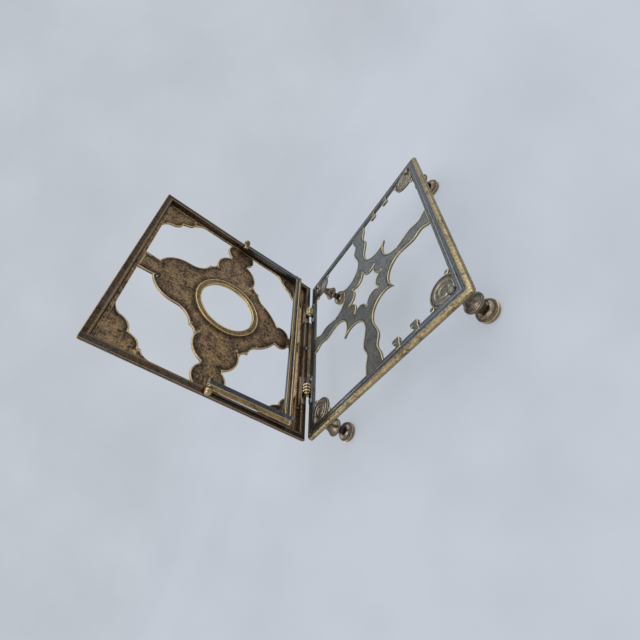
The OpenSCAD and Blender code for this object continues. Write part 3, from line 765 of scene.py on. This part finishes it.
for side, tag in ((-1, "left"), (1, "right")):
    on_hinge = move(side * HINGE_X, AXIS_Y, AXIS_Z)
    leaf = place("base_leaf_" + tag, [(bm, on_hinge @ at) for bm, at in leaf_parts((-1, 1), (0,))],
                 "base", ["base_hinge_leaf_" + tag], LEAF_METAL)
    up_hinge = ON_REST @ move(side * HINGE_X, 0, 0) @ MIRROR_Z
    leaf2 = place("rest_leaf_" + tag, [(bm, up_hinge @ at) for bm, at in leaf_parts((0,), (-1, 1))],
                  "rest", ["rest_hinge_leaf_" + tag], LEAF_METAL)
    for obj, inv in ((leaf, on_hinge.inverted()), (leaf2, up_hinge.inverted())):
        repaint(obj, PIN_METAL, inv, lambda c, n: 3.5 < math.hypot(c.y, c.z) < 5.0 and c.z > -3.6)
    pin_half = 1.5 * KNUCKLE_L + 0.5
    cap = dome(2.7, 1.9)
    shaft = lathe([(0, -pin_half), (1.5, -pin_half), (1.5, pin_half), (0, pin_half)], 32)
    place("hinge_pin_turned_" + tag,
          [(shaft, on_hinge @ turn("Y", 90)), (cap, on_hinge @ turn("Y", 90) @ move(0, 0, pin_half)),
           (cap, on_hinge @ turn("Y", -90) @ move(0, 0, pin_half))],
          "base", ["hinge_pin_" + tag], PIN_METAL)


def rivet(shank):
    head = dome(2.3, 1.4, 40)
    stem = lathe([(0, -shank), (1.1, -shank), (1.2, -shank + 0.1), (1.2, 0.1), (0, 0.1)], 32)
    return [(head, Matrix.Identity(4)), (stem, Matrix.Identity(4))]


rivet_spots = [(x + s * SCREW_OUT, -HALF_D + AXIS_INSET + SCREW_BACK)
               for x in (-HINGE_X, HINGE_X) for s in (-1, 1)]
place("base_leaf_rivets", [(bm, ON_BASE @ move(x, y, LEAF_T) @ at) for x, y in rivet_spots
                           for bm, at in rivet(LEAF_T + BASE_PLATE)],
      "base", ["base_hinge_screws"], LEAF_METAL)
place("rest_leaf_rivets", [(bm, ON_INNER @ move(x, y, LEAF_T) @ at) for x, y in rivet_spots
                           for bm, at in rivet(LEAF_T + REST_T + FLANGE_T)],
      "rest", ["rest_hinge_screws"], LEAF_METAL)


# ---- rest panel ----

def rim_and_bead():
    """The flat rim, the raised bead inside it and the drop to the web."""
    r, w = REST_RIM, BEAD_W
    return [(r - 0.5, 0), (r - 0.1, -0.25), (r + 0.1, 0.15), (r + 0.35, BEAD_RISE), (r + w - 0.3, BEAD_RISE),
            (r + w, 0.1), (r + w + 0.3, -REST_T + REST_WEB + 0.4), (r + w + 0.8, -REST_T + REST_WEB),
            (LAND - 0.1, -REST_T + REST_WEB), (LAND + 0.1, -REST_T + REST_WEB),
            (RAIL, -REST_T + REST_WEB), (RAIL, -REST_T)]


rest_side = [(0.4, 0), (0.8, 0.05)] + rim_and_bead() + [
    (4.8, -REST_T), (2.0, -REST_T + 1.5), (0, -2.2), (0, -0.4)]
rest_front = [(0.7, 0), (1.1, 0)] + rim_and_bead() + [
    (0.9, -REST_T), (0, -REST_T + 0.9), (0, -2.2), (0, -0.7)]


def hinge_lands(x, inset, z):
    """Fills the hinge rail up level under the hinge leaves and stops its bead there and
    at the ledge's nut."""
    if REST_RIM - 0.6 < inset < LAND and z > -REST_T + 0.5:
        level = max(0.0, min(1.0, (LEAF_HALF + 0.9 - abs(abs(x) - HINGE_X)) / 0.8))
        z *= 1 - level
        if abs(x) < 3.2 and z > 0:
            z = 0.0
    return z


def side_arm():
    return (arc(57, 34, 8.5, 188, 262, 10) + arc(62.5, 2.6, 22.8, 107, 24, 18) +
            arc(98.5, 2.3, 15.3, 140, 47, 16))


def corner():
    return (arc(96, 50, 13, 0, 68, 12) + arc(102, 75, 10.8, 265, 196, 12) +
            arc(90, 90, 13.5, 268, 190, 14) + arc(64, 82.2, 14, 25, 90, 12))


def upper_arm():
    return ([(12.9, 97), (12.4, 88), (11.9, 81.2)] + arc(3.5, 53.5, 29, 73, 0, 22) +
            arc(52.5, 52, 20, 180, 254, 16))


def lower_arm():
    return (arc(13.2, 89.7, 6.5, 90, 180, 10) + arc(3.9, 69.5, 11.6, 75, -31, 20) +
            arc(-13.4, 14.8, 55.7, 60, 28.3, 16) + arc(50.5, 52, 18.8, 216, 267, 10))


def rest_web():
    """The medallion with its four arms: one outline that runs out under the rails."""
    side = side_arm()
    upper = [(12.9, 99)] + upper_arm() + side + [(OPEN_X + 3, 13.6)]
    lower = [(14.5, 99)] + lower_arm() + side + [(OPEN_X + 3, 13.6)]
    return (mirrored(upper, 1, 1) + mirrored(lower, 1, -1) +
            mirrored(lower, -1, -1) + mirrored(upper, -1, 1))


def spandrel():
    return corner() + [(64, OPEN_Y + 3), (OPEN_X + 3, OPEN_Y + 3), (OPEN_X + 3, 50)]


def ring_profile():
    """A narrow round at the opening, a flat golden band and a round outside it."""
    r0, r1 = RING_R, RING_OUT
    low = -REST_T + 0.05
    return ([(r0, low + 0.3), (r0, -4.0)] + arc(r0 + 0.6, -3.75, 0.6, 180, 20, 9) +
            [(r0 + 1.5, -3.62), (r1 - 1.7, -3.68)] + arc(r1 - 0.7, -3.85, 0.7, 160, 0, 9) +
            [(r1, -5.6), (r1 - 1, low + 1.2), (r0 + 0.3, low)])


hole = arc(0, 0, RING_R + 0.6, 0, 360, 128)[:-1]
# band: how wide the painted shade runs along the sunk field's border
CAST_FIELD = {"soft": 0.7, "sink": 0.4, "lip": 0.5, "band": 2.2, "grid": 2.5}
web = plate(rest_web(), [hole], -REST_T, -REST_T + REST_WEB, **CAST_FIELD)
# painted shade along the web's border and round the ring
rest_parts = [(shade_border(web, rest_web(), 5.5, RING_OUT + 1), ON_INNER)]
for sx in (1, -1):
    for sy in (1, -1):
        corner_web = plate(spandrel(), [], -REST_T, -REST_T + REST_WEB, **CAST_FIELD)
        # painted shade along the corner piece's curved edge
        rest_parts.append((shade_border(corner_web, corner(), 3.5), ON_INNER @ Matrix.Diagonal((sx, sy, 1, 1))))
rest_parts.append((rails(rest_side, rest_front, 1.2, hinge_lands), ON_INNER))
rest_parts.append((lathe_ring(ring_profile()), ON_INNER))
rest_obj = place("rest_panel_cast", rest_parts, "rest", ["rest_panel"], REST_METAL)

to_inner = ON_INNER.inverted()
repaint(rest_obj, RIM_METAL, to_inner, lambda c, n: c.z > -4.3
        and (abs(c.x) > OPEN_X - 0.2 or abs(c.y) > OPEN_Y - 0.2))
repaint(rest_obj, RING_METAL, to_inner, lambda c, n: c.z > -6.0
        and RING_R - 0.2 < math.hypot(c.x, c.y) < RING_OUT + 0.2)


# ---- book ledge ----

def ledge_outline():
    d, w, h = LEDGE_DEEP, LEDGE_WAIST, LEDGE_HALF
    half = wave([(0, d), (9, d - 0.3), (22, w), (33, d - 0.5), (45, w - 0.4), (57, w - 0.4),
                 (h - 12, w - 1.5)])
    half += arc(h - 10, w - 11.5, 10, 88, 0, 12) + [(h, 0.05)]
    return half + [(-x, y) for x, y in half[::-1]][:-1]


on_ledge = ON_INNER @ move(0, -HALF_D, -REST_T)
lay = Matrix(((1, 0, 0, 0), (0, 0, 1, LEDGE_V), (0, -1, 0, 0), (0, 0, 0, 1)))
apron = soften([(-LEDGE_HALF, 11), (-LEDGE_HALF, 1), (-APRON_HALF, 1), (-APRON_HALF, -APRON_H),
                (APRON_HALF, -APRON_H), (APRON_HALF, 1), (LEDGE_HALF, 1), (LEDGE_HALF, 11)], 1.2)
place("book_ledge_cast", [(plate(ledge_outline(), [], 0, LEDGE_T, soft=0.7), on_ledge @ lay),
                          (plate(apron, [], -FLANGE_T, 0.0, soft=0.5), on_ledge)],
      "rest", ["book_ledge"], REST_METAL)

STUD_R, STUD_UP, STUD_END = 1.2, 1.8, -REST_T - 3.4
stem = lathe([(0, 0), (STUD_R, 0), (STUD_R, STUD_END + 0.2), (STUD_R - 0.1, STUD_END), (0, STUD_END)], 32)
place("ledge_stud_turned", [(stem, ON_INNER @ move(0, NUT_Y, STUD_UP))],
      "rest", ["ledge_stud"], PIN_METAL)
place("ledge_nut", [(dome(2.4, 3.0), ON_INNER @ move(0, NUT_Y, 0))],
      "rest", ["ledge_cap_nut"], LEAF_METAL)


# ---- strut ----

post_x = LEG_OUT + 0.15 + 1.1
ball = lathe([(0, 0), (2.9, 0), (2.9, 0.25), (2.6, 0.45)] + arc(0, 1.3, 3.6, -12, 90, 20)[:-1] +
             [(0, 4.9)], 56)
for side, tag in ((-1, "left"), (1, "right")):
    at = ON_INNER @ (MIRROR_X if side < 0 else Matrix.Identity(4))
    tang = soften([(-3.3, 0), (3.3, 0)] + arc(0, PIVOT_RISE, 3.3, 0, 180, 20), 0.3)
    stand = move(post_x - 1.1, PIVOT_Y, 0) @ turn("Z", 90) @ turn("X", 90)
    place("strut_post_cast_" + tag, [(plate(tang, [], 0, 2.2, soft=0.35), at @ stand)],
          "rest", ["strut_post_" + tag], RIM_METAL)
    out = at @ move(0, PIVOT_Y, PIVOT_RISE) @ turn("Y", 90)
    shank = lathe([(0, 0), (1.6, 0), (1.6, 10.5), (0, 10.5)], 32)
    place("strut_ball_" + tag,
          [(ball, out @ move(0, 0, post_x + 1.1)), (shank, out @ move(0, 0, 107.2)),
           (dome(2.6, 1.3), out @ move(0, 0, 106.7) @ turn("X", 180))],
          "rest", ["strut_pin_" + tag], PIN_METAL)

low, high = -LEG_T / 2, LEG_T / 2
inner_x, leg_end = LEG_OUT - LEG_W, 3.2
leg_section = soften([(0, low), (LEG_W - 0.3, low), (LEG_W, low + 0.4), (LEG_W, low + 1.1),
                      (LEG_W - 2.7, high), (0, high)], 0.35)
bar_section = soften([(0, low), (BAR_W, low), (BAR_W, high), (BAR_W - 2.3, high), (BAR_W - 2.9, high - 1.0),
                      (2.9, high - 1.0), (2.3, high), (0, high)], 0.35)
strut_parts = [(bar(bar_section, 2 * LEG_OUT - 2, 64), ON_STRUT @ move(0, -STRUT_L, 0))]
for sx in (1, -1):
    leg = bar([(-y, z) for y, z in leg_section], STRUT_L + leg_end, 40, seed=sx)
    strut_parts.append((leg, ON_STRUT @ Matrix.Diagonal((sx, 1, 1, 1))
                        @ move(inner_x, (leg_end - STRUT_L) / 2, 0) @ turn("Z", 90)))
strut_obj = place("strut_frame_cast", strut_parts, "strut", ["strut"], STRUT_METAL)
to_strut = ON_STRUT.inverted()
repaint(strut_obj, RING_METAL, to_strut, lambda c, n: (abs(c.x) > LEG_OUT - 2.75 and n.z > -0.1)
        or (abs(c.x) < inner_x and c.z > high - 0.6))

toe = lathe([(0, 0), (1.7, 0)] + [(1.7 * math.cos(a), 2.9 + 1.7 * math.sin(a))
                                  for a in [k * math.pi / 20 for k in range(10)]] + [(0, 4.6)], 36)
place("strut_toe_pins", [(toe, ON_STRUT @ move(sx * inner_x, -STRUT_L, 0) @ turn("X", 90)) for sx in (1, -1)],
      "strut", ["strut_toes"], LEAF_METAL)

# the studs inside the feet keep their CAD shape
studs = frame["nodes"]["foot_studs"].data.materials
studs.clear()
studs.append(PIN_METAL)


# ---- table, light and camera ----

SEEN = (0.53, 0.565, 0.62)   # the pale cloth colour that the table top fades to


def mottling(nodes, links):
    """The faint unevenness of the cloth's brightness, laid over the view."""
    coords = nodes.new("ShaderNodeTexCoord")
    noise = nodes.new("ShaderNodeTexNoise")
    noise.inputs["Scale"].default_value = 5.5
    noise.inputs["Detail"].default_value = 8
    links.new(coords.outputs["Window"], noise.inputs["Vector"])
    level = nodes.new("ShaderNodeMapRange")
    for key, value in (("From Min", 0.35), ("From Max", 0.68), ("To Min", 0.95), ("To Max", 1.05)):
        level.inputs[key].default_value = value
    links.new(noise.outputs["Fac"], level.inputs["Value"])
    return level.outputs["Result"]


def cloth():
    mat = bpy.data.materials.new("pale_cloth")
    mat.use_nodes = True
    nodes, links = mat.node_tree.nodes, mat.node_tree.links
    bsdf = nodes["Principled BSDF"]
    bsdf.inputs["Roughness"].default_value = 0.95
    bsdf.inputs["Specular IOR Level"].default_value = 0.1
    coords = nodes.new("ShaderNodeTexCoord")
    soft = nodes.new("ShaderNodeTexNoise")
    soft.inputs["Scale"].default_value = 3.5
    soft.inputs["Detail"].default_value = 3
    links.new(coords.outputs["Object"], soft.inputs["Vector"])
    ramp = nodes.new("ShaderNodeValToRGB")
    ramp.color_ramp.elements[0].position = 0.3
    ramp.color_ramp.elements[0].color = (0.44, 0.465, 0.50, 1)
    ramp.color_ramp.elements[1].position = 0.7
    ramp.color_ramp.elements[1].color = (0.55, 0.555, 0.56, 1)
    links.new(soft.outputs["Fac"], ramp.inputs[0])
    links.new(ramp.outputs[0], bsdf.inputs["Base Color"])
    # far from the stand the cloth turns into the colour behind it, so that no horizon shows
    far = nodes.new("ShaderNodeVectorMath")
    far.operation = "LENGTH"
    links.new(coords.outputs["Object"], far.inputs[0])
    fade = nodes.new("ShaderNodeMapRange")
    fade.interpolation_type = "SMOOTHSTEP"
    fade.inputs["From Min"].default_value = 0.25
    fade.inputs["From Max"].default_value = 1.4
    fade.inputs["To Min"].default_value = 0.66
    links.new(far.outputs["Value"], fade.inputs["Value"])
    glow = nodes.new("ShaderNodeEmission")
    glow.inputs["Color"].default_value = (*SEEN, 1)
    links.new(mottling(nodes, links), glow.inputs["Strength"])
    both = nodes.new("ShaderNodeMixShader")
    links.new(fade.outputs["Result"], both.inputs[0])
    links.new(bsdf.outputs[0], both.inputs[1])
    links.new(glow.outputs[0], both.inputs[2])
    links.new(both.outputs[0], nodes["Material Output"].inputs[0])
    return mat


floor_mesh = bpy.data.meshes.new("cloth_on_table")
floor_bm = bmesh.new()
bmesh.ops.create_grid(floor_bm, x_segments=8, y_segments=8, size=8)
floor_bm.to_mesh(floor_mesh)
floor_mesh.materials.append(cloth())
floor = bpy.data.objects.new("cloth_on_table", floor_mesh)
bpy.context.scene.collection.objects.link(floor)

world = bpy.data.worlds.new("daylight")
bpy.context.scene.world = world
world.use_nodes = True
wn, wl = world.node_tree.nodes, world.node_tree.links
sky = wn["Background"]
direction = wn.new("ShaderNodeTexCoord")
height = wn.new("ShaderNodeSeparateXYZ")
wl.new(direction.outputs["Generated"], height.inputs[0])
clouds = wn.new("ShaderNodeTexNoise")
clouds.inputs["Scale"].default_value = 1.7
clouds.inputs["Detail"].default_value = 2
wl.new(direction.outputs["Generated"], clouds.inputs["Vector"])
lift = wn.new("ShaderNodeMath")
lift.operation = "MULTIPLY_ADD"
wl.new(clouds.outputs["Fac"], lift.inputs[0])
lift.inputs[1].default_value = 0.7
wl.new(height.outputs["Z"], lift.inputs[2])
sky_ramp = wn.new("ShaderNodeValToRGB")
sky_ramp.color_ramp.elements[0].position = 0.30
sky_ramp.color_ramp.elements[0].color = (0.075, 0.070, 0.065, 1)
sky_ramp.color_ramp.elements[1].position = 1.05
sky_ramp.color_ramp.elements[1].color = (0.80, 0.88, 1.00, 1)
wl.new(lift.outputs[0], sky_ramp.inputs[0])
wl.new(sky_ramp.outputs[0], sky.inputs[0])
sky.inputs[1].default_value = 1.15
backdrop = wn.new("ShaderNodeBackground")
backdrop.inputs[0].default_value = (*SEEN, 1)
wl.new(mottling(wn, wl), backdrop.inputs[1])
path = wn.new("ShaderNodeLightPath")
choose = wn.new("ShaderNodeMixShader")
wl.new(path.outputs["Is Camera Ray"], choose.inputs[0])
wl.new(sky.outputs[0], choose.inputs[1])
wl.new(backdrop.outputs[0], choose.inputs[2])
wl.new(choose.outputs[0], wn["World Output"].inputs[0])


def area_light(name, where, target, size, power, colour):
    data = bpy.data.lights.new(name, "AREA")
    data.size = size
    data.energy = power
    data.color = colour
    obj = bpy.data.objects.new(name, data)
    bpy.context.scene.collection.objects.link(obj)
    obj.location = where
    obj.rotation_euler = (Vector(target) - Vector(where)).to_track_quat("-Z", "Y").to_euler()


area_light("window", (0.9, 0.3, 1.3), (0, 0, 0.1), 1.2, 7.5, (1.0, 0.97, 0.92))
area_light("sky_left", (-0.9, 0.9, 1.1), (0, 0, 0.1), 1.4, 5, (0.86, 0.93, 1.0))
area_light("front_fill", (-0.2, -1.4, 0.8), (0, 0, 0.1), 1.2, 4, (1.0, 0.97, 0.93))

cam_data = bpy.data.cameras.new("camera")
cam_data.lens = 23.0
cam_data.sensor_width = 36
cam_data.clip_start = 0.01
camera = bpy.data.objects.new("camera", cam_data)
bpy.context.scene.collection.objects.link(camera)
camera.location = Vector((334.7, BASE_Y + 193.6, BASE_TOP + 168.5)) * MM
camera.rotation_euler = [math.radians(a) for a in (49.05, 58.48, 90.74)]
bpy.context.scene.camera = camera
bpy.context.scene.view_settings.view_transform = "Standard"
